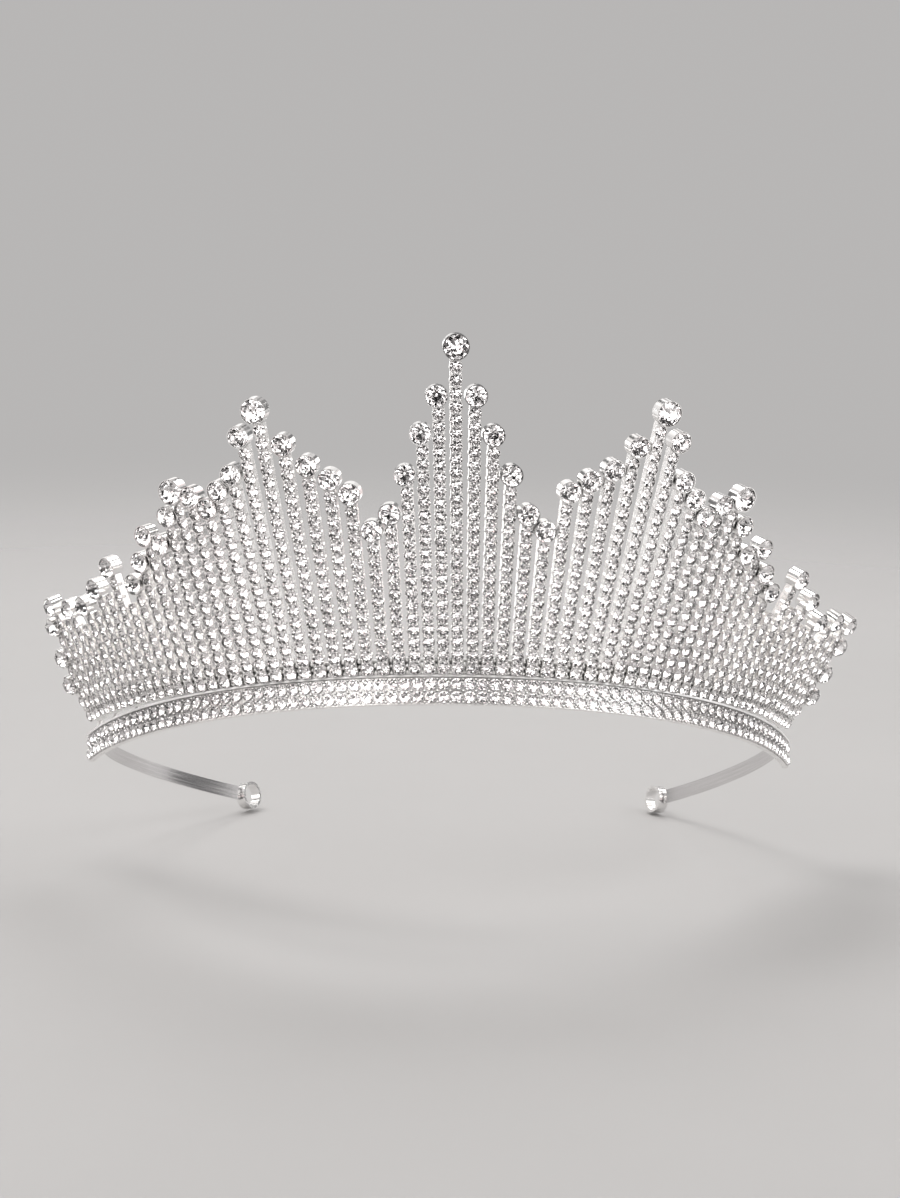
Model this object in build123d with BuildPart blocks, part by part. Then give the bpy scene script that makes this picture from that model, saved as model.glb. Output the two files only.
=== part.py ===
from build123d import *
import math
import os

os.makedirs("parts", exist_ok=True)

# ---------------------------------------------------------------------------
# Bridal tiara: a C-shaped stone-set band, a rail, a comb of upright stone-set
# bars that flares outwards, a round stone in a deep cup on every bar, and two
# thin strips with a loop at the back.
# Frame: Z up, the band's flat lower edge at Z = 0, the front faces -Y, the
# band is symmetric about X = ORIGIN_X.  "left" is -X and "right" is +X.  The
# comb is bent and soldered by hand, so its two sides differ a little, and the
# origin is the middle of the whole tiara's box.
# All lengths in millimetres, angles in degrees.
# ---------------------------------------------------------------------------

# Plan curve of the band: curvature (1/mm) at even steps of arc length from
# the centre line, the same on both sides.
CURVE_STEP = 25.0
CURVATURE = [0.0125, 0.0152, 0.0152, 0.0133, 0.0119]
ORIGIN_X = -1.460          # the band's centre line
FRONT_Y = -37.435          # where the curve crosses the centre line
BAND_END = 92.45           # arc length from the centre to each end of the band
SEAM = 39.6                # arc length at which the band's segments meet
SEAM_GAP = 0.12

# Band
BAND_HEIGHT = 4.86
BAND_IN = -0.55            # inner face, measured along the outward normal
BAND_OUT = 0.50            # outer face of the plate
SEAT_OUT = 0.80            # outer rim of the seats
ROW_LOW_Z = 1.24
ROW_HIGH_Z = 3.60
BAND_PITCH = 2.27
BAND_SEAT_R = 1.12
BAND_STONE_R = 1.03

# Rail on the band's upper edge
RAIL_TOP = 5.25
RAIL_IN = -0.75
RAIL_OUT = 1.02

# Comb of bars
BAR_LAST = 34              # bars run from -34 to 34
# Where each bar stands, as arc length along the rail (bars -34 to 34)
BAR_AT = [-90.34, -87.62, -84.92, -82.23, -79.57, -76.92, -74.29, -71.67, -69.05, -66.46, -63.87,
          -61.3, -58.71, -56.1, -53.45, -50.76, -48.04, -45.31, -42.61, -39.92, -37.26, -34.63,
          -31.97, -29.27, -26.53, -23.76, -20.97, -18.18, -15.42, -12.67, -9.9, -7.18, -4.71,
          -2.28, 0.16, 2.68, 5.22, 7.78, 10.38, 13.03, 15.67, 18.3, 20.97, 23.66,
          26.35, 28.97, 31.52, 34.06, 36.6, 39.13, 41.65, 44.16, 46.77, 49.43, 52.1,
          54.76, 57.36, 59.94, 62.49, 65.06, 67.63, 70.24, 72.86, 75.51, 78.18, 80.86,
          83.56, 86.26, 88.97]
BAR_BASE_Z = 5.27
SPINE_WIDTH = 2.02
BAR_DEPTH = 1.50
SEAT_FROM = 0.50           # depth at which the round seats start
BAR_SEAT_R = 1.17
BAR_STONE_R = 1.05
BAR_STONE_PITCH = 2.22
FOOT_SEAT_R = 1.19
FOOT_STONE_R = 1.07
FOOT_UP = 1.65             # foot seat's centre above the bar's start
BAR_START = 0.70
POCKET_CLEAR = 0.03
POCKET_DEPTH = 0.92

# Outward flare of the bars from the vertical, how far the comb's foot stands
# inside the band's curve, both at the same even steps, and the bars' sideways
# lean at even steps from arc length -100 to 100
FLARE_LEFT = [25.3, 30.3, 24.8, 26.8, 33.0]
FLARE_RIGHT = [25.3, 30.7, 30.4, 37.8, 40.3]
INSET_LEFT = [0.0, 0.0, 0.35, 1.0, 1.0]
INSET_RIGHT = [0.0, 0.01, 0.77, 1.0, 0.73]
LEAN = [-0.02, -0.01, -0.08, -0.72, -1.73, -0.08, -0.07, 0.21, 0.18]

# The comb's foot rises off the rail towards the ends
RISE_FROM = 45.0
RISE_END = 2.6

# Distance of each end stone's centre from the rail along its bar (-34 to 34)
REACH = [8.72, 13.88, 19.94, 23.36, 20.06, 21.54, 17.77, 21.07, 19.35, 23.32, 21.74,
         26.34, 18.87, 22.17, 25.76, 30.26, 28.17, 32.95, 37.14, 35.65, 33.19, 36.05,
         38.68, 45.27, 49.49, 43.08, 38.99, 36.24, 33.36, 26.57, 29.31, 36.01, 43.25,
         49.72, 58.28, 49.81, 43.07, 36.25, 29.47, 26.87, 34.19, 36.57, 39.03, 43.72,
         50.35, 45.72, 38.89, 36.09, 33.35, 36.01, 38.06, 33.23, 28.4, 30.22, 25.94,
         23.02, 19.45, 27.02, 21.76, 24.05, 19.38, 21.26, 17.96, 22.83, 20.11, 23.71,
         19.39, 13.61, 8.74]
# Sideways offset of each end cup from its bar, away from the taller side
SIDE = [-0.36, -0.28, -0.2, 0.06, 0.0, 0.23, -0.0, -0.27, 0.0, -0.26, -0.0,
        -0.15, -0.0, -0.34, -0.08, -0.23, -0.0, 0.05, -0.7, 0.11, 0.04, -0.11,
        0.05, -0.42, -0.34, 0.03, 0.17, 0.16, -0.01, 0.01, -0.04, -0.28, -0.26,
        -0.34, 0.07, 0.13, -0.08, -0.02, 0.03, 0.0, 0.18, 0.13, 0.25, 0.25,
        0.6, 0.53, -0.02, -0.07, -0.01, -0.04, 1.07, 0.05, 0.03, 0.39, -0.01,
        0.25, -0.0, 0.23, -0.0, 0.14, -0.0, 0.15, 0.0, -0.06, -0.0, 0.16,
        0.1, 0.22, 0.32]
# Bars that end bare between their neighbours' cups: REACH is their top end
BARE = (22, 24, 26, 28, 30)
PEAKS = (0, 10, 16)

# End cups and their stones
CUP_R = 2.00
CUP_R_PEAK = 2.34
CUP_WALL = 0.13
CUP_BACK = -0.25
CUP_FRONT = 2.10
CUP_FLOOR = 0.30

# Strip behind the comb's foot
FOOT_STRIP_T = 0.50
FOOT_STRIP_H = 2.90

# Back strips and loops
STRIP_T = 0.45
STRIP_H = 2.80
STRIP_Z = 2.80
LOOP_R = 2.80
LOOP_BORE_R = 2.25
LOOP_LENGTH = 2.20


# ---------------------------------------------------------------------------
# Geometry helpers
# ---------------------------------------------------------------------------
def smooth(table, s):
    """Catmull-Rom value of a table given at even steps of arc length."""
    u = min(abs(s) / CURVE_STEP, len(table) - 1.0001)
    k = int(u)
    f = u - k
    a = table[k - 1] if k > 0 else table[1]
    b = table[k]
    c = table[k + 1]
    d = table[k + 2] if k + 2 < len(table) else 2 * c - b
    return b + 0.5 * f * (c - a + f * (2 * a - 5 * b + 4 * c - d
                                       + f * (3 * (b - c) + d - a)))


STEP = 0.05
_x, _y, _t = 0.0, FRONT_Y, 0.0
PLAN = [(_x, _y, _t)]
for _k in range(int(110 / STEP)):
    _c0 = smooth(CURVATURE, _k * STEP)
    _mid = _t + 0.5 * STEP * _c0
    _x += STEP * math.cos(_mid)
    _y += STEP * math.sin(_mid)
    _t += STEP * smooth(CURVATURE, (_k + 0.5) * STEP)
    PLAN.append((_x, _y, _t))


def plan(s):
    """Point and heading of the plan curve at signed arc length s."""
    a = abs(s) / STEP
    k = min(int(a), len(PLAN) - 2)
    f = a - k
    x, y, t = (PLAN[k][j] + f * (PLAN[k + 1][j] - PLAN[k][j]) for j in range(3))
    return (ORIGIN_X + x, y, t) if s >= 0 else (ORIGIN_X - x, y, -t)


def off(s, d, z):
    """Point at distance d outside the plan curve, at height z."""
    x, y, t = plan(s)
    return (x + d * math.sin(t), y - d * math.cos(t), z)


def rise(s):
    return RISE_END * max(0.0, (abs(s) - RISE_FROM) / (BAND_END - RISE_FROM)) ** 1.3


def comb_plane(s):
    """Plane of the comb's back: x along the rail, y up the comb, z outwards."""
    x, y, t = plan(s)
    p = math.radians(smooth(FLARE_LEFT if s < 0 else FLARE_RIGHT, s))
    d = -smooth(INSET_LEFT if s < 0 else INSET_RIGHT, s)
    out = (math.sin(t) * math.cos(p), -math.cos(t) * math.cos(p), -math.sin(p))
    return Plane(origin=off(s, d, BAR_BASE_Z + rise(s)), x_dir=(math.cos(t), math.sin(t), 0),
                 z_dir=out)


def bar_plane(i):
    """Plane of bar i's back: the comb's plane there, leaned sideways."""
    s = BAR_AT[i + BAR_LAST]
    u = min((s + 100.0) / CURVE_STEP, len(LEAN) - 1.001)
    k = int(u)
    lean = math.radians(LEAN[k] + (u - k) * (LEAN[k + 1] - LEAN[k]))
    p = comb_plane(s)
    return Plane(origin=p.origin, x_dir=p.x_dir * math.cos(lean) - p.y_dir * math.sin(lean),
                 z_dir=p.z_dir)


def reach(i):
    return REACH[i + BAR_LAST]


def side(i):
    return SIDE[i + BAR_LAST]


def cup_radius(i):
    return CUP_R_PEAK if abs(i) in PEAKS else CUP_R


def seats(i):
    """Centres of the small seats along bar i."""
    lo = FOOT_UP + FOOT_SEAT_R
    hi = reach(i) - (0 if abs(i) in BARE else cup_radius(i)) - 0.02
    n = int((hi - lo) / BAR_STONE_PITCH + 0.04)
    if n < 1:
        return []
    step = (hi - lo) / n
    return [lo + step * (k + 0.5) for k in range(n)]


def near_cups(i):
    """Places in bar i's plane, with radii, of the neighbours' cups."""
    plane, found = bar_plane(i), []
    for j in range(max(i - 2, -BAR_LAST), min(i + 2, BAR_LAST) + 1):
        if j != i and abs(j) not in BARE:
            q = bar_plane(j)
            p = q.origin + q.x_dir * side(j) + q.y_dir * reach(j) + q.z_dir * 0.9
            v = plane.to_local_coords(p)
            if abs(v.X) < cup_radius(j) + 1.25:
                found.append((v.X, v.Y, cup_radius(j) + 0.09))
    return found


# Bars by spire: the comb rises to a point at the centre and four times on
# each side of it.
SPIRES = {"centre": range(-4, 5)}
for _name, _a, _b in (("shoulder", 5, 13), ("flank", 14, 18), ("side", 19, 25), ("end", 26, 34)):
    SPIRES[_name + "_left"] = range(-_b, -_a + 1)
    SPIRES[_name + "_right"] = range(_a, _b + 1)
THIRDS = {"left": range(-34, -14), "centre": range(-14, 15), "right": range(15, 35)}

# ---------------------------------------------------------------------------
# Stones: a flat table, a sloping crown, a thin girdle and a conical back.
# The girdle lies in the local XY plane.
# ---------------------------------------------------------------------------
with BuildPart() as small_stone:
    with BuildSketch(Plane.XZ):
        with BuildLine():
            Polyline((0, -0.74), (0.14, -0.74), (BAR_STONE_R, -0.05), (BAR_STONE_R, 0),
                     (0.60, 0.34), (0, 0.34), close=True)
        make_face()
    revolve(axis=Axis.Z)

with BuildPart() as foot_stone:
    with BuildSketch(Plane.XZ):
        with BuildLine():
            Polyline((0, -0.80), (0.18, -0.80), (FOOT_STONE_R, -0.06), (FOOT_STONE_R, 0),
                     (0.64, 0.42), (0, 0.42), close=True)
        make_face()
    revolve(axis=Axis.Z)

with BuildPart() as band_stone:
    with BuildSketch(Plane.XZ):
        with BuildLine():
            Polyline((0, -0.74), (0.14, -0.74), (BAND_STONE_R, -0.05), (BAND_STONE_R, 0),
                     (0.60, 0.34), (0, 0.34), close=True)
        make_face()
    revolve(axis=Axis.Z)


def tip_profile(r):
    return [(0, -1.42), (0.22, -1.42), (r, -0.12), (r, 0), (0.56 * r, 0.86), (0, 0.86)]


with BuildPart() as tip_stone:
    with BuildSketch(Plane.XZ):
        with BuildLine():
            Polyline(*tip_profile(CUP_R - CUP_WALL - POCKET_CLEAR), close=True)
        make_face()
    revolve(axis=Axis.Z)

with BuildPart() as peak_stone:
    with BuildSketch(Plane.XZ):
        with BuildLine():
            Polyline(*tip_profile(CUP_R_PEAK - CUP_WALL - POCKET_CLEAR), close=True)
        make_face()
    revolve(axis=Axis.Z)

# ---------------------------------------------------------------------------
# Bars: a narrow spine with a row of round seats, wider at the foot, ending
# against the side of its cup.
# ---------------------------------------------------------------------------
bar_parts = {}
for i in range(-BAR_LAST, BAR_LAST + 1):
    plane = bar_plane(i)
    start = BAR_START
    top = reach(i)
    rows = seats(i)
    foot_y = FOOT_UP
    cups = near_cups(i)
    with BuildPart() as bar:
        with BuildSketch(plane):
            with Locations((0, (start + top) / 2)):
                Rectangle(SPINE_WIDTH, top - start)
            if abs(i) not in BARE:
                with Locations((side(i), top)):
                    Circle(cup_radius(i) + 0.02, mode=Mode.SUBTRACT)
            for cx, cy, cr in cups:
                with Locations((cx, cy)):
                    Circle(cr, mode=Mode.SUBTRACT)
        extrude(amount=BAR_DEPTH)
        with BuildSketch(plane.offset(SEAT_FROM)):
            with Locations((0, foot_y)):
                Circle(FOOT_SEAT_R)
            if rows:
                with Locations(*[(0, y) for y in rows]):
                    Circle(BAR_SEAT_R)
            if abs(i) not in BARE:
                with Locations((side(i), top)):
                    Circle(cup_radius(i) + 0.02, mode=Mode.SUBTRACT)
            for cx, cy, cr in cups:
                with Locations((cx, cy)):
                    Circle(cr, mode=Mode.SUBTRACT)
        extrude(amount=BAR_DEPTH - SEAT_FROM)
        with BuildSketch(plane.offset(BAR_DEPTH - POCKET_DEPTH)):
            with Locations((0, foot_y)):
                Circle(FOOT_STONE_R + POCKET_CLEAR)
            if rows:
                with Locations(*[(0, y) for y in rows]):
                    Circle(BAR_STONE_R + POCKET_CLEAR)
        extrude(amount=POCKET_DEPTH + 0.1, mode=Mode.SUBTRACT)
    bar_parts[i] = bar.part

for spire, indices in SPIRES.items():
    with BuildPart() as bars:
        for i in indices:
            add(bar_parts[i])
    bars.part.label = "bars_" + spire
    export_step(bars.part, "parts/bars_" + spire + ".step")

    with BuildPart() as bar_stones:
        for i in indices:
            with Locations(*[bar_plane(i).location * Location((0, y, BAR_DEPTH - 0.02))
                             for y in seats(i)] or [Location()]):
                if seats(i):
                    add(small_stone.part)
    bar_stones.part.label = "bar_stones_" + spire
    export_step(bar_stones.part, "parts/bar_stones_" + spire + ".step")

    # Cups on the bar ends: short cylinders, deep enough for the stone's back
    capped = [i for i in indices if abs(i) not in BARE]
    with BuildPart() as tip_cups:
        for i in capped:
            plane = bar_plane(i)
            with BuildSketch(plane.offset(CUP_BACK)):
                with Locations((side(i), reach(i))):
                    Circle(cup_radius(i))
            extrude(amount=CUP_FRONT - CUP_BACK)
            with BuildSketch(plane.offset(CUP_FLOOR)):
                with Locations((side(i), reach(i))):
                    Circle(cup_radius(i) - CUP_WALL)
            extrude(amount=CUP_FRONT - CUP_FLOOR + 0.1, mode=Mode.SUBTRACT)
    tip_cups.part.label = "tip_cups_" + spire
    export_step(tip_cups.part, "parts/tip_cups_" + spire + ".step")

    with BuildPart() as tip_stones:
        for i in capped:
            with Locations(bar_plane(i).location
                           * Location((side(i), reach(i), CUP_FRONT - 0.05))):
                add(peak_stone.part if abs(i) in PEAKS else tip_stone.part)
    tip_stones.part.label = "tip_stones_" + spire
    export_step(tip_stones.part, "parts/tip_stones_" + spire + ".step")

# One larger stone at the foot of each bar
for third, indices in THIRDS.items():
    with BuildPart() as foot_stones:
        with Locations(*[bar_plane(i).location
                         * Location((0, FOOT_UP, BAR_DEPTH - 0.02))
                         for i in indices]):
            add(foot_stone.part)
    foot_stones.part.label = "foot_stones_" + third
    export_step(foot_stones.part, "parts/foot_stones_" + third + ".step")

# ---------------------------------------------------------------------------
# Strip behind the comb's foot, tilted with the bars
# ---------------------------------------------------------------------------
FOOT_SPANS = {"left": (-BAND_END, -SEAM - 0.06), "centre": (-SEAM + 0.06, SEAM - 0.06),
              "right": (SEAM + 0.06, BAND_END)}
for third, (a, b) in FOOT_SPANS.items():
    n = 16 if third == "centre" else 11
    with BuildPart() as comb_foot:
        for k in range(n + 1):
            s = a + (b - a) * k / n
            plane = comb_plane(s)
            x, y, t = plan(s)
            out = plane.z_dir
            centre = plane.origin + plane.y_dir * (0.03 + FOOT_STRIP_H / 2) \
                - out * (0.03 + FOOT_STRIP_T / 2)
            section = Plane(origin=centre, x_dir=out, z_dir=(math.cos(t), math.sin(t), 0))
            with BuildSketch(section):
                Rectangle(FOOT_STRIP_T, FOOT_STRIP_H)
        loft()
    comb_foot.part.label = "comb_foot_strip_" + third
    export_step(comb_foot.part, "parts/comb_foot_strip_" + third + ".step")

# ---------------------------------------------------------------------------
# Band: three curved segments, each a plate with two rows of round seats
# ---------------------------------------------------------------------------
last = SEAM - SEAM_GAP / 2 - BAND_SEAT_R - 0.04
half = int(last / BAND_PITCH + 0.5)
centre_cols = [last * k / half for k in range(-half, half + 1)]
first, last = SEAM + SEAM_GAP / 2 + BAND_SEAT_R + 0.04, BAND_END - BAND_SEAT_R - 0.25
side_count = int((last - first) / BAND_PITCH)
side_cols = [first + (last - first) * k / side_count for k in range(side_count + 1)]
BANDS = {"left": (-BAND_END, -SEAM - SEAM_GAP / 2, [-c for c in side_cols]),
         "centre": (-SEAM + SEAM_GAP / 2, SEAM - SEAM_GAP / 2, centre_cols),
         "right": (SEAM + SEAM_GAP / 2, BAND_END, side_cols)}


def seat_location(s, d, z):
    """Location on the band: local z points outwards, local y up."""
    x, y, t = plan(s)
    return Plane(origin=off(s, d, z), x_dir=(math.cos(t), math.sin(t), 0),
                 z_dir=(math.sin(t), -math.cos(t), 0)).location


for third, (a, b, cols) in BANDS.items():
    n = 48 if third == "centre" else 32
    run = [a + (b - a) * k / n for k in range(n + 1)]
    outer = [off(s, BAND_OUT, 0)[:2] for s in run]
    inner = [off(s, BAND_IN, 0)[:2] for s in reversed(run)]
    spots = [(s, z) for s in cols for z in (ROW_LOW_Z, ROW_HIGH_Z)]
    with BuildPart() as base_band:
        with BuildSketch():
            with BuildLine():
                Polyline(*outer, *inner, close=True)
            make_face()
        extrude(amount=BAND_HEIGHT)
        with Locations(*[seat_location(s, 0.5 * (SEAT_OUT + BAND_OUT) - 0.15, z) for s, z in spots]):
            Cylinder(BAND_SEAT_R, SEAT_OUT - BAND_OUT + 0.3)
        with Locations(*[seat_location(s, SEAT_OUT - POCKET_DEPTH / 2 + 0.05, z) for s, z in spots]):
            Cylinder(BAND_STONE_R + POCKET_CLEAR, POCKET_DEPTH + 0.1, mode=Mode.SUBTRACT)
    base_band.part.label = "base_band_" + third
    export_step(base_band.part, "parts/base_band_" + third + ".step")

    for row, z in (("lower", ROW_LOW_Z), ("upper", ROW_HIGH_Z)):
        with BuildPart() as band_stones:
            with Locations(*[seat_location(s, SEAT_OUT - 0.02, z) for s in cols]):
                add(band_stone.part)
        band_stones.part.label = "band_stones_" + row + "_" + third
        export_step(band_stones.part, "parts/band_stones_" + row + "_" + third + ".step")

# Rail: one thin ledge along the band's upper edge
run = [-BAND_END + 2 * BAND_END * k / 120 for k in range(121)]
with BuildPart() as top_rail:
    with BuildSketch(Plane.XY.offset(BAND_HEIGHT + 0.01)):
        with BuildLine():
            Polyline(*[off(s, RAIL_OUT, 0)[:2] for s in run],
                     *[off(s, RAIL_IN, 0)[:2] for s in reversed(run)], close=True)
        make_face()
    extrude(amount=RAIL_TOP - BAND_HEIGHT - 0.01)
top_rail.part.label = "top_rail"
export_step(top_rail.part, "parts/top_rail.step")

# Solder posts between the rail and the raised ends of the comb's foot
with BuildPart() as solder_posts:
    for s in (60.0, 70.0, 80.0, 90.0):
        for sign in (-1, 1):
            under = comb_plane(sign * s)
            head = under.origin - under.z_dir * 0.28
            with BuildSketch(Plane.XY.offset(RAIL_TOP)):
                with Locations(off(sign * s, -0.28, 0)[:2]):
                    Circle(0.42)
            with BuildSketch(Plane.XY.offset(BAR_BASE_Z + rise(s))):
                with Locations((head.X, head.Y)):
                    Circle(0.36)
            loft()
solder_posts.part.label = "solder_posts"
export_step(solder_posts.part, "parts/solder_posts.step")

# ---------------------------------------------------------------------------
# Back strips: thin flat metal, fixed inside each end of the band, curving
# in towards the back, each with a loop whose hole looks across the strip.
# ---------------------------------------------------------------------------
SWEEP = [(64.35, 53.6), (62.9, 60.5), (59.6, 70.5), (55.0, 81.0), (49.8, 90.6), (45.3, 97.6)]
SWAY = {1: 4.3, -1: 5.75}  # both strips are bent over towards +X at their ends


def route(sign):
    """Middle line of one strip, from inside the band's end to its loop."""
    contact = [off(sign * s, BAND_IN - 0.10 - STRIP_T / 2, 0)[:2] for s in (77.0, 81.0, 85.0)]
    y0, y1 = SWEEP[0][1], SWEEP[-1][1]
    return contact + [(ORIGIN_X + sign * px + SWAY[sign] * ((py - y0) / (y1 - y0)) ** 1.4,
                       py + FRONT_Y) for px, py in SWEEP]


def ribbon(points, thick):
    """Offset points on both sides of an open route."""
    left_side, right_side = [], []
    for k, (px, py) in enumerate(points):
        ax, ay = points[max(k - 1, 0)]
        bx, by = points[min(k + 1, len(points) - 1)]
        ln = math.hypot(bx - ax, by - ay)
        nx, ny = (by - ay) / ln, -(bx - ax) / ln
        right_side.append((px + nx * thick / 2, py + ny * thick / 2))
        left_side.append((px - nx * thick / 2, py - ny * thick / 2))
    return right_side, left_side


for sign, hand in ((1, "right"), (-1, "left")):
    line = route(sign)
    one_side, other_side = ribbon(line, STRIP_T)
    end_dx, end_dy = line[-1][0] - line[-2][0], line[-1][1] - line[-2][1]
    end_len = math.hypot(end_dx, end_dy)
    end_dir = (end_dx / end_len, end_dy / end_len)
    loop_axis = (sign * end_dir[1], -sign * end_dir[0])
    loop_centre = (line[-1][0] + end_dir[0] * (LOOP_R + 0.01),
                   line[-1][1] + end_dir[1] * (LOOP_R + 0.01))

    with BuildPart() as back_strip:
        with BuildSketch(Plane.XY.offset(STRIP_Z - STRIP_H / 2)):
            with BuildLine():
                Spline(*one_side)
                Line(one_side[-1], other_side[-1])
                Spline(*reversed(other_side))
                Line(other_side[0], one_side[0])
            make_face()
        extrude(amount=STRIP_H)
    back_strip.part.label = "back_strip_" + hand
    export_step(back_strip.part, "parts/back_strip_" + hand + ".step")

    loop_plane = Plane(origin=(loop_centre[0], loop_centre[1], STRIP_Z),
                       x_dir=(end_dir[0], end_dir[1], 0), z_dir=(loop_axis[0], loop_axis[1], 0))
    with BuildPart() as end_loop:
        with BuildSketch(loop_plane):
            Circle(LOOP_R)
            Circle(LOOP_BORE_R, mode=Mode.SUBTRACT)
        extrude(amount=LOOP_LENGTH / 2, both=True)
    end_loop.part.label = "end_loop_" + hand
    export_step(end_loop.part, "parts/end_loop_" + hand + ".step")
    print("loop", hand, loop_centre, "axis", loop_axis)

# Rivet heads on the inner face of each strip, over the band's end
RIVET_R = 0.85
with BuildPart() as strip_rivet_right:
    for s in (78.0, 83.0):
        t = plan(s)[2]
        seat = Plane(origin=off(s, BAND_IN - 0.20 - STRIP_T, STRIP_Z), x_dir=(0, 0, 1),
                     z_dir=(-math.sin(t), math.cos(t), 0))
        with BuildSketch(seat):
            Circle(RIVET_R)
        extrude(amount=0.45, taper=35)
strip_rivet_right.part.label = "strip_rivets_right"
export_step(strip_rivet_right.part, "parts/strip_rivets_right.step")

with BuildPart() as strip_rivet_left:
    add(mirror(strip_rivet_right.part, about=Plane.YZ.offset(ORIGIN_X), mode=Mode.PRIVATE))
strip_rivet_left.part.label = "strip_rivets_left"
export_step(strip_rivet_left.part, "parts/strip_rivets_left.step")

print("head opening half-width at s=60:", off(60, BAND_IN, 0))
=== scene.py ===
import bpy
import bmesh
import math
import random
import numpy as np
from mathutils import Matrix, Vector


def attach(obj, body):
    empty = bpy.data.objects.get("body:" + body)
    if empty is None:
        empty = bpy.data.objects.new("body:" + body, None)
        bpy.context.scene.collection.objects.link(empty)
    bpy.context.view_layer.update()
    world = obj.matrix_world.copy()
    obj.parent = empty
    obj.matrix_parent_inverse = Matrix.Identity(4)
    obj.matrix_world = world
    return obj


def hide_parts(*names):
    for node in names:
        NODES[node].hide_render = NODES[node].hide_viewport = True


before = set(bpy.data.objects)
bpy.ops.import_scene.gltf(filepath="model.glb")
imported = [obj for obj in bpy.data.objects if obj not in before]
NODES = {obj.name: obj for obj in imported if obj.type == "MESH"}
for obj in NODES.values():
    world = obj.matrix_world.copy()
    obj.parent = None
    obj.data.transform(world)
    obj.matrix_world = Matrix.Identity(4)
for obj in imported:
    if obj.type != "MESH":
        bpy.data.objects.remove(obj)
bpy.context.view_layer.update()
random.seed(11)
MM = 0.001

# ---------------------------------------------------------------------------
# Geometry of the tiara, the same numbers as the solid model (millimetres)
# ---------------------------------------------------------------------------
CURVE_STEP = 25.0
CURVATURE = [0.0125, 0.0152, 0.0152, 0.0133, 0.0119]
ORIGIN_X = -1.460
FRONT_Y = -37.435
BAND_END = 92.45
SEAM = 39.6
SEAM_GAP = 0.12
BAND_HEIGHT = 4.86
SEAT_OUT = 0.80
BAND_OUT = 0.50
ROW_LOW_Z = 1.24
ROW_HIGH_Z = 3.60
BAND_PITCH = 2.27
BAND_SEAT_R = 1.12
BAND_STONE_R = 1.03
RAIL_TOP = 5.25
RAIL_IN = -0.75
RAIL_OUT = 1.02
BAR_LAST = 34
BAR_AT = [-90.34, -87.62, -84.92, -82.23, -79.57, -76.92, -74.29, -71.67, -69.05, -66.46, -63.87,
          -61.3, -58.71, -56.1, -53.45, -50.76, -48.04, -45.31, -42.61, -39.92, -37.26, -34.63,
          -31.97, -29.27, -26.53, -23.76, -20.97, -18.18, -15.42, -12.67, -9.9, -7.18, -4.71,
          -2.28, 0.16, 2.68, 5.22, 7.78, 10.38, 13.03, 15.67, 18.3, 20.97, 23.66,
          26.35, 28.97, 31.52, 34.06, 36.6, 39.13, 41.65, 44.16, 46.77, 49.43, 52.1,
          54.76, 57.36, 59.94, 62.49, 65.06, 67.63, 70.24, 72.86, 75.51, 78.18, 80.86,
          83.56, 86.26, 88.97]
BAR_BASE_Z = 5.27
BAR_DEPTH = 1.50
BAR_STONE_R = 1.05
BAR_STONE_PITCH = 2.22
FOOT_SEAT_R = 1.19
FOOT_STONE_R = 1.07
FOOT_UP = 1.65
FLARE_LEFT = [25.3, 30.3, 24.8, 26.8, 33.0]
FLARE_RIGHT = [25.3, 30.7, 30.4, 37.8, 40.3]
INSET_LEFT = [0.0, 0.0, 0.35, 1.0, 1.0]
INSET_RIGHT = [0.0, 0.01, 0.77, 1.0, 0.73]
LEAN = [-0.02, -0.01, -0.08, -0.72, -1.73, -0.08, -0.07, 0.21, 0.18]
RISE_FROM = 45.0
RISE_END = 2.6
REACH = [8.72, 13.88, 19.94, 23.36, 20.06, 21.54, 17.77, 21.07, 19.35, 23.32, 21.74,
         26.34, 18.87, 22.17, 25.76, 30.26, 28.17, 32.95, 37.14, 35.65, 33.19, 36.05,
         38.68, 45.27, 49.49, 43.08, 38.99, 36.24, 33.36, 26.57, 29.31, 36.01, 43.25,
         49.72, 58.28, 49.81, 43.07, 36.25, 29.47, 26.87, 34.19, 36.57, 39.03, 43.72,
         50.35, 45.72, 38.89, 36.09, 33.35, 36.01, 38.06, 33.23, 28.4, 30.22, 25.94,
         23.02, 19.45, 27.02, 21.76, 24.05, 19.38, 21.26, 17.96, 22.83, 20.11, 23.71,
         19.39, 13.61, 8.74]
SIDE = [-0.36, -0.28, -0.2, 0.06, 0.0, 0.23, -0.0, -0.27, 0.0, -0.26, -0.0,
        -0.15, -0.0, -0.34, -0.08, -0.23, -0.0, 0.05, -0.7, 0.11, 0.04, -0.11,
        0.05, -0.42, -0.34, 0.03, 0.17, 0.16, -0.01, 0.01, -0.04, -0.28, -0.26,
        -0.34, 0.07, 0.13, -0.08, -0.02, 0.03, 0.0, 0.18, 0.13, 0.25, 0.25,
        0.6, 0.53, -0.02, -0.07, -0.01, -0.04, 1.07, 0.05, 0.03, 0.39, -0.01,
        0.25, -0.0, 0.23, -0.0, 0.14, -0.0, 0.15, 0.0, -0.06, -0.0, 0.16,
        0.1, 0.22, 0.32]
BARE = (22, 24, 26, 28, 30)
PEAKS = (0, 10, 16)
CUP_R = 2.00
CUP_R_PEAK = 2.34
CUP_WALL = 0.13
CUP_FRONT = 2.10
STRIP_T = 0.45
STRIP_H = 2.80
STRIP_Z = 2.80
LOOP_R = 2.80


def smooth(table, s):
    u = min(abs(s) / CURVE_STEP, len(table) - 1.0001)
    k = int(u)
    f = u - k
    a = table[k - 1] if k > 0 else table[1]
    b = table[k]
    c = table[k + 1]
    d = table[k + 2] if k + 2 < len(table) else 2 * c - b
    return b + 0.5 * f * (c - a + f * (2 * a - 5 * b + 4 * c - d
                                       + f * (3 * (b - c) + d - a)))


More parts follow.
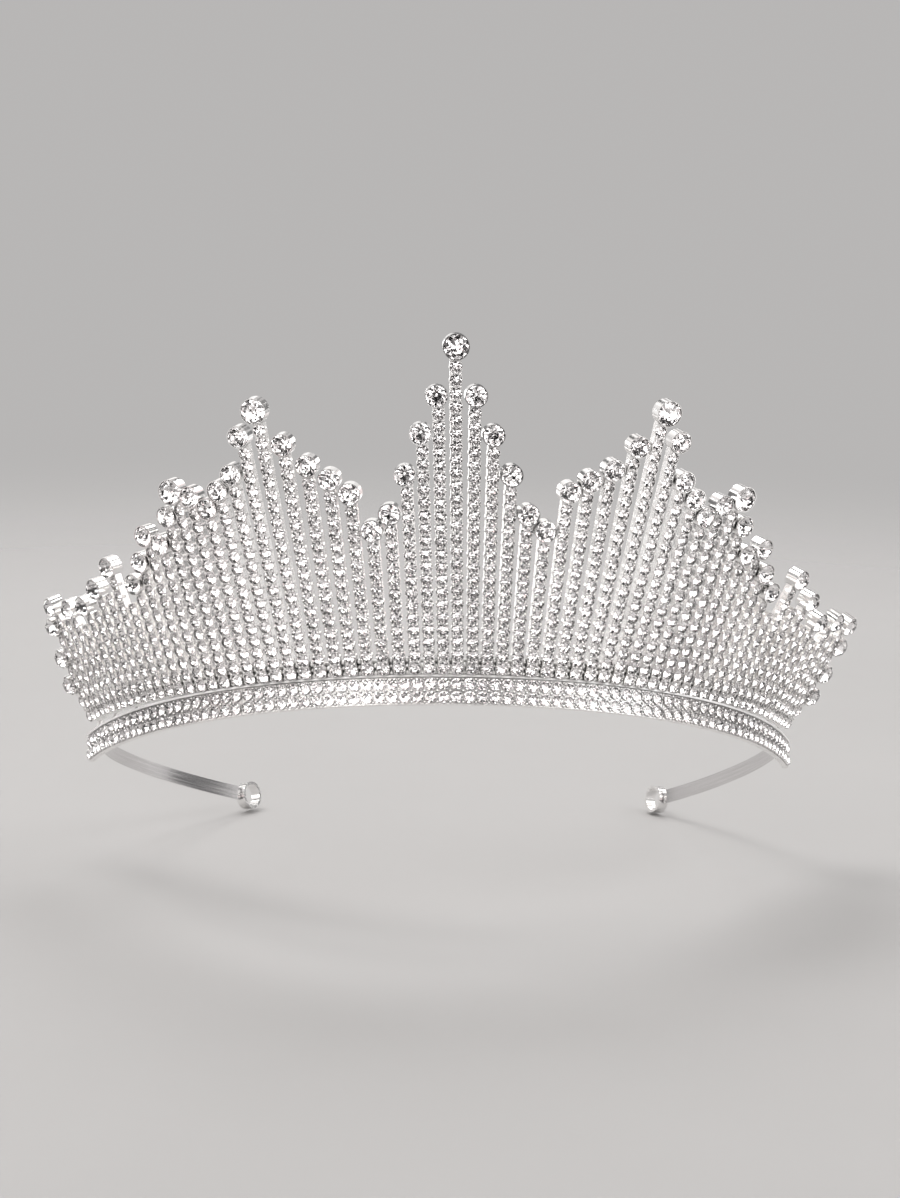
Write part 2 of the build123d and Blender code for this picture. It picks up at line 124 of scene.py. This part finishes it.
STEP = 0.05
PLAN = [(0.0, FRONT_Y, 0.0)]
for _k in range(int(110 / STEP)):
    _x, _y, _t = PLAN[-1]
    _mid = _t + 0.5 * STEP * smooth(CURVATURE, _k * STEP)
    PLAN.append((_x + STEP * math.cos(_mid), _y + STEP * math.sin(_mid),
                 _t + STEP * smooth(CURVATURE, (_k + 0.5) * STEP)))


def plan(s):
    a = abs(s) / STEP
    k = min(int(a), len(PLAN) - 2)
    f = a - k
    x, y, t = (PLAN[k][j] + f * (PLAN[k + 1][j] - PLAN[k][j]) for j in range(3))
    return (ORIGIN_X + x, y, t) if s >= 0 else (ORIGIN_X - x, y, -t)


def off(s, d, z):
    x, y, t = plan(s)
    return (x + d * math.sin(t), y - d * math.cos(t), z)


def rise(s):
    return RISE_END * max(0.0, (abs(s) - RISE_FROM) / (BAND_END - RISE_FROM)) ** 1.3


def basis(origin, x_dir, z_dir):
    """Matrix of a plane: columns x, y = z cross x, z and the origin."""
    x, z = Vector(x_dir).normalized(), Vector(z_dir).normalized()
    y = z.cross(x)
    m = Matrix((x, y, z)).transposed().to_4x4()
    m.translation = Vector(origin)
    return m


def comb_plane(s):
    x, y, t = plan(s)
    p = math.radians(smooth(FLARE_LEFT if s < 0 else FLARE_RIGHT, s))
    d = -smooth(INSET_LEFT if s < 0 else INSET_RIGHT, s)
    return basis(off(s, d, BAR_BASE_Z + rise(s)), (math.cos(t), math.sin(t), 0),
                 (math.sin(t) * math.cos(p), -math.cos(t) * math.cos(p), -math.sin(p)))


def comb_plane(s):
    x, y, t = plan(s)
    p = math.radians(smooth(FLARE_LEFT if s < 0 else FLARE_RIGHT, s))
    d = -smooth(INSET_LEFT if s < 0 else INSET_RIGHT, s)
    return basis(off(s, d, BAR_BASE_Z + rise(s)), (math.cos(t), math.sin(t), 0),
                 (math.sin(t) * math.cos(p), -math.cos(t) * math.cos(p), -math.sin(p)))


def bar_plane(i):
    s = BAR_AT[i + BAR_LAST]
    u = min((s + 100.0) / CURVE_STEP, len(LEAN) - 1.001)
    k = int(u)
    lean = LEAN[k] + (u - k) * (LEAN[k + 1] - LEAN[k])
    return comb_plane(s) @ Matrix.Rotation(-math.radians(lean), 4, "Z")


def band_plane(s, d, z):
    x, y, t = plan(s)
    return basis(off(s, d, z), (math.cos(t), math.sin(t), 0), (math.sin(t), -math.cos(t), 0))


def reach(i):
    return REACH[i + BAR_LAST]


def cup_radius(i):
    return CUP_R_PEAK if abs(i) in PEAKS else CUP_R


def side(i):
    return SIDE[i + BAR_LAST]


def seats(i):
    lo = FOOT_UP + FOOT_SEAT_R
    hi = reach(i) - (0 if abs(i) in BARE else cup_radius(i)) - 0.02
    n = int((hi - lo) / BAR_STONE_PITCH + 0.04)
    if n < 1:
        return []
    step = (hi - lo) / n
    return [lo + step * (k + 0.5) for k in range(n)]


SPIRES = {"centre": list(range(-4, 5))}
for _name, _a, _b in (("shoulder", 5, 13), ("flank", 14, 18), ("side", 19, 25), ("end", 26, 34)):
    SPIRES[_name + "_left"] = list(range(-_b, -_a + 1))
    SPIRES[_name + "_right"] = list(range(_a, _b + 1))
THIRDS = {"left": range(-34, -14), "centre": range(-14, 15), "right": range(15, 35)}

# ---------------------------------------------------------------------------
# Materials
# ---------------------------------------------------------------------------


def new_material(name):
    m = bpy.data.materials.new(name)
    m.use_nodes = True
    nt = m.node_tree
    nt.nodes.clear()
    out = nt.nodes.new("ShaderNodeOutputMaterial")
    bsdf = nt.nodes.new("ShaderNodeBsdfPrincipled")
    nt.links.new(bsdf.outputs[0], out.inputs[0])
    return m, nt, bsdf, out


def link(nt, a, b):
    nt.links.new(a, b)


def noise(nt, scale, detail=4.0, rough=0.55):
    co = nt.nodes.new("ShaderNodeTexCoord")
    n = nt.nodes.new("ShaderNodeTexNoise")
    n.inputs["Scale"].default_value = scale
    n.inputs["Detail"].default_value = detail
    n.inputs["Roughness"].default_value = rough
    link(nt, co.outputs["Object"], n.inputs["Vector"])
    return n


def ramp(nt, source, stops):
    r = nt.nodes.new("ShaderNodeValToRGB")
    while len(r.color_ramp.elements) < len(stops):
        r.color_ramp.elements.new(0.5)
    for e, (p, c) in zip(r.color_ramp.elements, stops):
        e.position = p
        e.color = (*c, 1) if len(c) == 3 else (c[0], c[0], c[0], 1)
    link(nt, source, r.inputs[0])
    return r


def silver(name, tint, rough_lo, rough_hi, scale, bump, corner_shade_depth):
    """Polished silver plating: slow changes of tone, small changes of polish, a very fine unevenness of the
    casting, and painted shade darkening the corners and crevices."""
    m, nt, b, out = new_material(name)
    b.inputs["Metallic"].default_value = 1.0
    tone = noise(nt, scale * 0.35, 3.0)
    c = ramp(nt, tone.outputs["Fac"], [(0.30, tuple(v * 0.86 for v in tint)), (0.52, tint), (0.75, tuple(min(1, v * 1.05) for v in tint))])
    # painted shade: the plating colour is darkened in corners and crevices, wherever the ambient occlusion mask
    # finds them
    corner = nt.nodes.new("ShaderNodeAmbientOcclusion")
    corner.samples = 4
    corner.inputs["Distance"].default_value = 0.0007
    painted_corner_shade = ramp(nt, corner.outputs["AO"], [(0.20, (corner_shade_depth,)), (0.66, (0.5 + 0.5 * corner_shade_depth,)), (0.88, (1.0,))])
    mul = nt.nodes.new("ShaderNodeMix")
    mul.data_type = "RGBA"
    mul.blend_type = "MULTIPLY"
    mul.inputs[0].default_value = 1.0
    link(nt, c.outputs[0], mul.inputs[6])
    link(nt, painted_corner_shade.outputs[0], mul.inputs[7])
    link(nt, mul.outputs[2], b.inputs["Base Color"])
    pol = noise(nt, scale, 5.0, 0.6)
    r = ramp(nt, pol.outputs["Fac"], [(0.35, (rough_lo,)), (0.70, (rough_hi,))])
    link(nt, r.outputs[0], b.inputs["Roughness"])
    bp = nt.nodes.new("ShaderNodeBump")
    bp.inputs["Strength"].default_value = bump
    bp.inputs["Distance"].default_value = 0.00008
    fine = noise(nt, scale * 2.5, 4.0)
    link(nt, fine.outputs["Fac"], bp.inputs["Height"])
    link(nt, bp.outputs[0], b.inputs["Normal"])
    return m


# the last number sets how dark the painted shade in the corners goes
SILVER = silver("silver_plating", (0.97, 0.955, 0.945), 0.16, 0.30, 900.0, 0.60, 0.42)
CUP = silver("cup_plating", (0.97, 0.96, 0.95), 0.06, 0.14, 500.0, 0.30, 0.22)
GRAIN = silver("grain_plating", (0.985, 0.975, 0.965), 0.08, 0.20, 1500.0, 0.10, 0.60)
RAIL = silver("rail_plating", (0.99, 0.985, 0.98), 0.46, 0.60, 600.0, 0.35, 0.92)
FOOT_METAL = silver("foot_plating", (0.985, 0.975, 0.965), 0.30, 0.46, 800.0, 0.50, 0.85)


def strip_metal():
    """Smooth spring strip: drawn along its length, so fine lines run level."""
    m, nt, b, out = new_material("strip_plating")
    b.inputs["Metallic"].default_value = 1.0
    co = nt.nodes.new("ShaderNodeTexCoord")
    mp = nt.nodes.new("ShaderNodeMapping")
    mp.inputs["Scale"].default_value = (60, 60, 9000)
    link(nt, co.outputs["Object"], mp.inputs[0])
    n = nt.nodes.new("ShaderNodeTexNoise")
    n.inputs["Scale"].default_value = 1.0
    n.inputs["Detail"].default_value = 3.0
    link(nt, mp.outputs[0], n.inputs["Vector"])
    c = ramp(nt, n.outputs["Fac"], [(0.3, (0.60, 0.59, 0.59)), (0.7, (0.76, 0.75, 0.75))])
    link(nt, c.outputs[0], b.inputs["Base Color"])
    r = ramp(nt, n.outputs["Fac"], [(0.3, (0.10,)), (0.7, (0.22,))])
    link(nt, r.outputs[0], b.inputs["Roughness"])
    bp = nt.nodes.new("ShaderNodeBump")
    bp.inputs["Strength"].default_value = 0.15
    bp.inputs["Distance"].default_value = 0.00003
    link(nt, n.outputs["Fac"], bp.inputs["Height"])
    link(nt, bp.outputs[0], b.inputs["Normal"])
    return m


STRIP = strip_metal()


def stone_glass(name, tint):
    """Cut glass, with a slight change of tone from stone to stone."""
    m, nt, b, out = new_material(name)
    b.inputs["IOR"].default_value = 1.58
    b.inputs["Transmission Weight"].default_value = 1.0
    n = noise(nt, 260.0, 1.0)
    c = ramp(nt, n.outputs["Fac"], [(0.35, tuple(v * 0.95 for v in tint)), (0.65, tint)])
    link(nt, c.outputs[0], b.inputs["Base Color"])
    w = noise(nt, 1500.0, 2.0)
    r = ramp(nt, w.outputs["Fac"], [(0.4, (0.0,)), (0.8, (0.02,))])
    link(nt, r.outputs[0], b.inputs["Roughness"])
    return m


def stone_foil(name, tint):
    """Foil on the back facets of the stones: a mirror with dull patches."""
    m, nt, b, out = new_material(name)
    b.inputs["Metallic"].default_value = 1.0
    n = noise(nt, 500.0, 2.0)
    c = ramp(nt, n.outputs["Fac"], [(0.25, tuple(v * 0.72 for v in tint)), (0.5, tint)])
    link(nt, c.outputs[0], b.inputs["Base Color"])
    r = ramp(nt, n.outputs["Fac"], [(0.3, (0.03,)), (0.8, (0.08,))])
    link(nt, r.outputs[0], b.inputs["Roughness"])
    return m


GLASS = stone_glass("stone_glass", (1.0, 0.995, 0.995))
FOIL = stone_foil("stone_foil", (0.97, 0.96, 0.96))

# ---------------------------------------------------------------------------
# Stones: a brilliant cut with table, star, main and girdle facets on the
# crown, and main and girdle facets on the foiled back
# ---------------------------------------------------------------------------


def brilliant(r, table, crown, depth, girdle, n=8, star=0.5, low=0.6):
    """Points and facets (with material index) of one stone in millimetres."""
    pts, faces = [], []
    rt = r * table
    step = 2 * math.pi / n

    def add(rho, ang, z):
        pts.append((rho * math.cos(ang), rho * math.sin(ang), z))
        return len(pts) - 1

    top = [add(rt, k * step, crown) for k in range(n)]
    rm = rt + (r - rt) * star
    zm = crown * (r - rm * math.cos(step / 2)) / (r - rt)
    mid = [add(rm, (k + 0.5) * step, zm) for k in range(n)]
    gu = [add(r, k * step / 2, 0.0) for k in range(2 * n)]
    gl = [add(r, k * step / 2, -girdle) for k in range(2 * n)]
    rp = r * low
    zp = -girdle - (depth - girdle) * (1 - rp * math.cos(step / 2) / r)
    pm = [add(rp, (k + 0.5) * step, zp) for k in range(n)]
    cu = add(0, 0, -depth)
    faces.append((list(top), 0))
    for k in range(n):
        j = (k + 1) % n
        faces.append(([top[k], mid[k], top[j]], 0))
        faces.append(([top[k], mid[k - 1], gu[2 * k], mid[k]], 0))
        faces.append(([mid[k], gu[2 * k], gu[2 * k + 1]], 0))
        faces.append(([mid[k], gu[2 * k + 1], gu[(2 * k + 2) % (2 * n)]], 0))
        faces.append(([gl[2 * k], pm[k - 1], cu, pm[k]], 1))
        faces.append(([gl[2 * k + 1], gl[2 * k], pm[k]], 1))
        faces.append(([gl[(2 * k + 2) % (2 * n)], gl[2 * k + 1], pm[k]], 1))
    for k in range(2 * n):
        j = (k + 1) % (2 * n)
        faces.append(([gu[k], gl[k], gl[j], gu[j]], 1))
    return pts, faces


TIP = brilliant(CUP_R - CUP_WALL - 0.03, 0.54, 0.86, 1.66, 0.06)
PEAK = brilliant(CUP_R_PEAK - CUP_WALL - 0.03, 0.54, 0.86, 1.70, 0.06)
SMALL = brilliant(BAR_STONE_R, 0.52, 0.34, 0.86, 0.05)
FOOT = brilliant(FOOT_STONE_R, 0.52, 0.40, 0.86, 0.05)
BAND = brilliant(BAND_STONE_R, 0.52, 0.34, 0.86, 0.05)


def stone_object(name, node, placed, tilt):
    """One mesh of all the stones of a node. placed: (template, matrix)."""
    verts, faces, mats = [], [], []
    for (pts, fcs), m in placed:
        base = len(verts)
        spin = Matrix.Rotation(random.uniform(0, 2 * math.pi), 4, "Z")
        lean = Matrix.Rotation(math.radians(random.uniform(0, tilt)), 4,
                               Vector((math.cos(random.uniform(0, 6.3)), math.sin(random.uniform(0, 6.3)), 0)))
        t = m @ lean @ spin
        verts += [tuple((t @ Vector(p)) * MM) for p in pts]
        for f, k in fcs:
            faces.append([base + v for v in f])
            mats.append(k)
    me = bpy.data.meshes.new(name)
    me.from_pydata(verts, [], faces)
    me.materials.append(GLASS)
    me.materials.append(FOIL)
    me.polygons.foreach_set("material_index", mats)
    bm = bmesh.new()
    bm.from_mesh(me)
    bmesh.ops.recalc_face_normals(bm, faces=bm.faces)
    bm.to_mesh(me)
    bm.free()
    me.update()
    ob = bpy.data.objects.new(name, me)
    bpy.context.scene.collection.objects.link(ob)
    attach(ob, "root")
    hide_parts(node)
    return ob


def at(plane, x, y, z):
    return plane @ Matrix.Translation((x, y, z))


for spire, indices in SPIRES.items():
    ob = stone_object("cut_bar_stones_" + spire, "bar_stones_" + spire,
                      [(SMALL, at(bar_plane(i), 0, y, BAR_DEPTH - 0.02))
                       for i in indices for y in seats(i)], 2.5)
    ob = stone_object("cut_tip_stones_" + spire, "tip_stones_" + spire,
                      [(PEAK if abs(i) in PEAKS else TIP,
                        at(bar_plane(i), side(i), reach(i), CUP_FRONT - 0.05))
                       for i in indices if abs(i) not in BARE], 2.0)

for third, indices in THIRDS.items():
    ob = stone_object("cut_foot_stones_" + third, "foot_stones_" + third,
                      [(FOOT, at(bar_plane(i), 0, FOOT_UP, BAR_DEPTH - 0.02))
                       for i in indices], 2.5)

last = SEAM - SEAM_GAP / 2 - BAND_SEAT_R - 0.04
half = int(last / BAND_PITCH + 0.5)
centre_cols = [last * k / half for k in range(-half, half + 1)]
first, last = SEAM + SEAM_GAP / 2 + BAND_SEAT_R + 0.04, BAND_END - BAND_SEAT_R - 0.25
side_count = int((last - first) / BAND_PITCH)
side_cols = [first + (last - first) * k / side_count for k in range(side_count + 1)]
for third, cols in (("left", [-c for c in side_cols]), ("centre", centre_cols), ("right", side_cols)):
    for row, z in (("lower", ROW_LOW_Z), ("upper", ROW_HIGH_Z)):
        ob = stone_object("cut_band_stones_" + row + "_" + third, "band_stones_" + row + "_" + third,
                          [(BAND, band_plane(s, SEAT_OUT - 0.02, z)) for s in cols], 2.5)

# ---------------------------------------------------------------------------
# Grains: the small raised beads of metal that hold the stones, two between
# each pair of stones on a bar and a line of them along the band
# ---------------------------------------------------------------------------


def grain(r, high, n=8):
    """A low dome standing on its flat underside."""
    pts, faces = [], []
    levels = (0.0, 0.55, 1.05)
    for a in levels:
        for k in range(n):
            t = 2 * math.pi * (k + 0.5 * (levels.index(a) % 2)) / n
            pts.append((r * math.cos(a) * math.cos(t), r * math.cos(a) * math.sin(t), high * math.sin(a)))
    pts.append((0.0, 0.0, high))
    for lv in range(len(levels) - 1):
        for k in range(n):
            j = (k + 1) % n
            faces.append((lv * n + k, lv * n + j, (lv + 1) * n + j, (lv + 1) * n + k))
    for k in range(n):
        faces.append(((len(levels) - 1) * n + k, (len(levels) - 1) * n + (k + 1) % n, len(pts) - 1))
    faces.append(tuple(reversed(range(n))))
    return pts, faces


def grain_object(name, places, r, high, metal):
    """places: matrices of the grains' feet."""
    verts, faces = [], []
    for m in places:
        rr = r * random.uniform(0.88, 1.12)
        pts, fcs = grain(rr, high * random.uniform(0.85, 1.15))
        base = len(verts)
        verts += [tuple((m @ Vector(p)) * MM) for p in pts]
        faces += [[base + v for v in f] for f in fcs]
    me = bpy.data.meshes.new(name)
    me.from_pydata(verts, [], faces)
    me.materials.append(metal)
    me.polygons.foreach_set("use_smooth", [len(p.vertices) < 8 for p in me.polygons])
    me.update()
    ob = bpy.data.objects.new(name, me)
    bpy.context.scene.collection.objects.link(ob)
    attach(ob, "root")
    return ob


GRAIN_X = 0.70
for spire, indices in SPIRES.items():
    places = []
    for i in indices:
        rows = [FOOT_UP] + seats(i)
        for a, b in zip(rows, rows[1:]):
            mid = 0.5 * (a + b) + (0.04 if a == FOOT_UP else 0.0)
            for x in (-GRAIN_X, GRAIN_X):
                places.append(at(bar_plane(i), x + random.uniform(-0.03, 0.03), mid + random.uniform(-0.04, 0.04),
                                 BAR_DEPTH - 0.01))
    grain_object("grains_bars_" + spire, places, 0.25, 0.24, GRAIN)

# beads of solder standing on the foot strip between the bars' lower ends
for third, indices in THIRDS.items():
    places = []
    for i in indices:
        if i == BAR_LAST:
            continue
        near, far = bar_plane(i), bar_plane(i + 1)
        for y in (0.95, 2.05, 3.05):
            if y > 2.9 and (i % 3 == 0):
                continue
            p = near @ Vector((0, y, 0.25))
            q = far @ Vector((0, y, 0.25))
            m = near.copy()
            m.translation = (p + q) / 2
            places.append(m)
    grain_object("foot_solder_" + third, places, 0.50, 1.10, FOOT_METAL)

for third, cols in (("left", [-c for c in side_cols]), ("centre", centre_cols), ("right", side_cols)):
    places = []
    cs = sorted(cols)
    for a, b in zip(cs, cs[1:]):
        for z, lift in ((0.5 * (ROW_LOW_Z + ROW_HIGH_Z), 0.0), (0.38, 0.0), (BAND_HEIGHT - 0.32, 0.0)):
            places.append(band_plane(0.5 * (a + b), BAND_OUT - 0.01, z))
    grain_object("grains_band_" + third, places, 0.30, 0.42, GRAIN)

# ---------------------------------------------------------------------------
# Metal: the CAD nodes keep their shape and take the plating
# ---------------------------------------------------------------------------


def paint(prefixes, material):
    for n, o in NODES.items():
        if any(n.startswith(p) for p in prefixes):
            o.data.materials.clear()
            o.data.materials.append(material)


paint(("bars_", "base_band"), SILVER)
paint(("tip_cups", "end_loop", "strip_rivets"), CUP)
paint(("comb_foot", "solder"), FOOT_METAL)
paint(("top_rail",), RAIL)
paint(("back_strip",), STRIP)

# ---------------------------------------------------------------------------
# Stage: pale floor under the loops, light, camera
# ---------------------------------------------------------------------------
TILT = math.radians(26.0)          # the tiara is tipped back on its loops
hinge = Vector((-0.0015, 0.0631, -0.0006))
floor_mesh = bpy.data.meshes.new("floor")
fb = bmesh.new()
rings, spokes, radius = 24, 96, 0.62
centre = fb.verts.new((0, 0, 0))
prev = None
for a in range(1, rings + 1):
    rr = radius * a / rings
    row = [fb.verts.new((rr * math.cos(2 * math.pi * k / spokes), rr * math.sin(2 * math.pi * k / spokes), 0)) for k in range(spokes)]
    for k in range(spokes):
        if prev is None:
            fb.faces.new((centre, row[k], row[(k + 1) % spokes]))
        else:
            fb.faces.new((prev[k], row[k], row[(k + 1) % spokes], prev[(k + 1) % spokes]))
    prev = row
fb.to_mesh(floor_mesh)
fb.free()
floor = bpy.data.objects.new("floor", floor_mesh)
bpy.context.scene.collection.objects.link(floor)
slope = Matrix.Rotation(TILT, 4, "X")
floor.matrix_world = Matrix.Translation(hinge) @ slope @ Matrix.Translation((0, -0.045, 0))

PALE = (0.43, 0.42, 0.415)
BACKDROP = (0.48, 0.47, 0.465)
m, nt, b, out = new_material("pale_floor")
n = noise(nt, 9.0, 5.0)
c = ramp(nt, n.outputs["Fac"], [(0.35, tuple(v * 0.97 for v in PALE)), (0.65, PALE)])
link(nt, c.outputs[0], b.inputs["Base Color"])
b.inputs["Roughness"].default_value = 0.75
b.inputs["Specular IOR Level"].default_value = 0.25
co = nt.nodes.new("ShaderNodeTexCoord")
ln = nt.nodes.new("ShaderNodeVectorMath")
ln.operation = "LENGTH"
link(nt, co.outputs["Object"], ln.inputs[0])
fade = nt.nodes.new("ShaderNodeMapRange")
fade.interpolation_type = "SMOOTHSTEP"
fade.inputs["From Min"].default_value = 0.10
fade.inputs["From Max"].default_value = 0.60
fade.inputs["To Min"].default_value = 1.0
fade.inputs["To Max"].default_value = 0.0
link(nt, ln.outputs["Value"], fade.inputs["Value"])
geo = nt.nodes.new("ShaderNodeNewGeometry")
front = nt.nodes.new("ShaderNodeMath")
front.operation = "SUBTRACT"
front.inputs[0].default_value = 1.0
link(nt, geo.outputs["Backfacing"], front.inputs[1])
both = nt.nodes.new("ShaderNodeMath")
both.operation = "MULTIPLY"
link(nt, fade.outputs[0], both.inputs[0])
link(nt, front.outputs[0], both.inputs[1])
link(nt, both.outputs[0], b.inputs["Alpha"])
floor_mesh.materials.append(m)

# World: what the camera sees is a plain pale backdrop; what the metal and
# the stones reflect is a studio of soft boxes with dark gaps between them,
# and the dark side of the room behind the camera
world = bpy.data.worlds.new("studio")
bpy.context.scene.world = world
world.use_nodes = True
wn = world.node_tree
wn.nodes.clear()
wout = wn.nodes.new("ShaderNodeOutputWorld")
plain = wn.nodes.new("ShaderNodeBackground")
plain.inputs[0].default_value = (*BACKDROP, 1)
plain.inputs[1].default_value = 1.0
studio = wn.nodes.new("ShaderNodeBackground")
co = wn.nodes.new("ShaderNodeTexCoord")
vor = wn.nodes.new("ShaderNodeTexVoronoi")
vor.inputs["Scale"].default_value = 5.0
link(wn, co.outputs["Generated"], vor.inputs["Vector"])
sep = wn.nodes.new("ShaderNodeSeparateColor")
link(wn, vor.outputs["Color"], sep.inputs[0])
cell = wn.nodes.new("ShaderNodeValToRGB")
cell.color_ramp.interpolation = "LINEAR"
stops = [(0.0, (0.01, 0.01, 0.012)), (0.27, (0.02, 0.02, 0.025)), (0.30, (0.55, 0.53, 0.53)), (0.55, (1.15, 1.13, 1.12)),
         (0.72, (1.5, 1.45, 1.42)), (0.80, (1.35, 1.05, 1.05)), (0.86, (3.2, 3.15, 3.1)), (1.0, (5.0, 4.9, 4.8))]
while len(cell.color_ramp.elements) < len(stops):
    cell.color_ramp.elements.new(0.5)
for e, (p, v) in zip(cell.color_ramp.elements, stops):
    e.position = p
    e.color = (*v, 1)
link(wn, sep.outputs[0], cell.inputs[0])
room = wn.nodes.new("ShaderNodeVectorMath")
room.operation = "DOT_PRODUCT"
link(wn, co.outputs["Generated"], room.inputs[0])
room.inputs[1].default_value = (-0.053, -0.967, -0.248)
dark = wn.nodes.new("ShaderNodeMapRange")
dark.interpolation_type = "SMOOTHSTEP"
dark.inputs["From Min"].default_value = 0.925
dark.inputs["From Max"].default_value = 0.965
dark.inputs["To Min"].default_value = 1.0
dark.inputs["To Max"].default_value = 0.04
link(wn, room.outputs["Value"], dark.inputs["Value"])
shade = wn.nodes.new("ShaderNodeMix")
shade.data_type = "RGBA"
shade.blend_type = "MULTIPLY"
shade.inputs[0].default_value = 1.0
link(wn, cell.outputs[0], shade.inputs[6])
link(wn, dark.outputs[0], shade.inputs[7])
link(wn, shade.outputs[2], studio.inputs[0])
studio.inputs[1].default_value = 1.65
# what polished metal mirrors: the same boxes, softer, with a lit room behind
soft = wn.nodes.new("ShaderNodeBackground")
tone = wn.nodes.new("ShaderNodeMix")
tone.data_type = "RGBA"
tone.inputs[0].default_value = 0.22
link(wn, cell.outputs[0], tone.inputs[6])
tone.inputs[7].default_value = (1.0, 0.985, 0.975, 1)
link(wn, tone.outputs[2], soft.inputs[0])
soft.inputs[1].default_value = 0.86
# what lights dull surfaces: an even pale room
even = wn.nodes.new("ShaderNodeBackground")
even.inputs[0].default_value = (0.97, 0.965, 0.96, 1)
even.inputs[1].default_value = 0.62
lp = wn.nodes.new("ShaderNodeLightPath")


def choose(fac, off_shader, on_shader):
    mx = wn.nodes.new("ShaderNodeMixShader")
    link(wn, fac, mx.inputs[0])
    link(wn, off_shader, mx.inputs[1])
    link(wn, on_shader, mx.inputs[2])
    return mx.outputs[0]


m1 = choose(lp.outputs["Is Transmission Ray"], soft.outputs[0], studio.outputs[0])
m2 = choose(lp.outputs["Is Diffuse Ray"], m1, even.outputs[0])
m3 = choose(lp.outputs["Is Camera Ray"], m2, plain.outputs[0])
link(wn, m3, wout.inputs[0])


def area(name, loc, aim, size_x, size_y, power, colour=(1, 1, 1)):
    l = bpy.data.lights.new(name, "AREA")
    l.shape = "RECTANGLE"
    l.size, l.size_y = size_x, size_y
    l.energy = power
    l.color = colour
    o = bpy.data.objects.new(name, l)
    bpy.context.scene.collection.objects.link(o)
    o.location = loc
    o.rotation_euler = (Vector(aim) - Vector(loc)).to_track_quat("-Z", "Y").to_euler()
    return o


area("key", (-0.30, -0.35, 0.75), (0, 0, 0.02), 0.55, 0.35, 3.2, (1.0, 0.985, 0.97))
area("fill", (0.65, -0.45, 0.35), (0, 0, 0.03), 0.40, 0.40, 1.4, (0.98, 0.99, 1.0))
area("top", (0.0, 0.10, 0.85), (0, 0, 0.02), 0.60, 0.40, 2.4)

cam_data = bpy.data.cameras.new("camera")
cam = bpy.data.objects.new("camera", cam_data)
bpy.context.scene.collection.objects.link(cam)
cam_data.sensor_fit = "HORIZONTAL"
cam_data.sensor_width = 36.0
cam_data.lens = 2826.8 / 900 * 36.0
cam_data.clip_start = 0.01
cam_data.clip_end = 20.0
EL, YAW, ROLL = 0.2506, 0.0547, -0.0014
v = Vector((math.sin(YAW) * math.cos(EL), math.cos(YAW) * math.cos(EL), math.sin(EL)))
right = Vector((math.cos(YAW), -math.sin(YAW), 0))
up = right.cross(v)
r1 = right * math.cos(ROLL) + up * math.sin(ROLL)
u1 = up * math.cos(ROLL) - right * math.sin(ROLL)
pos = Vector((-0.03049, -0.522525, -0.11064))
look = (v + r1 * (7.55 / 2826.8) + u1 * (30.15 / 2826.8)).normalized()
rr = (r1 - look * r1.dot(look)).normalized()
uu = rr.cross(look)
cm = Matrix((rr, uu, -look)).transposed().to_4x4()
cm.translation = pos
cam.matrix_world = cm
bpy.context.scene.camera = cam

bpy.context.scene.view_settings.view_transform = "Standard"
bpy.context.view_layer.update()
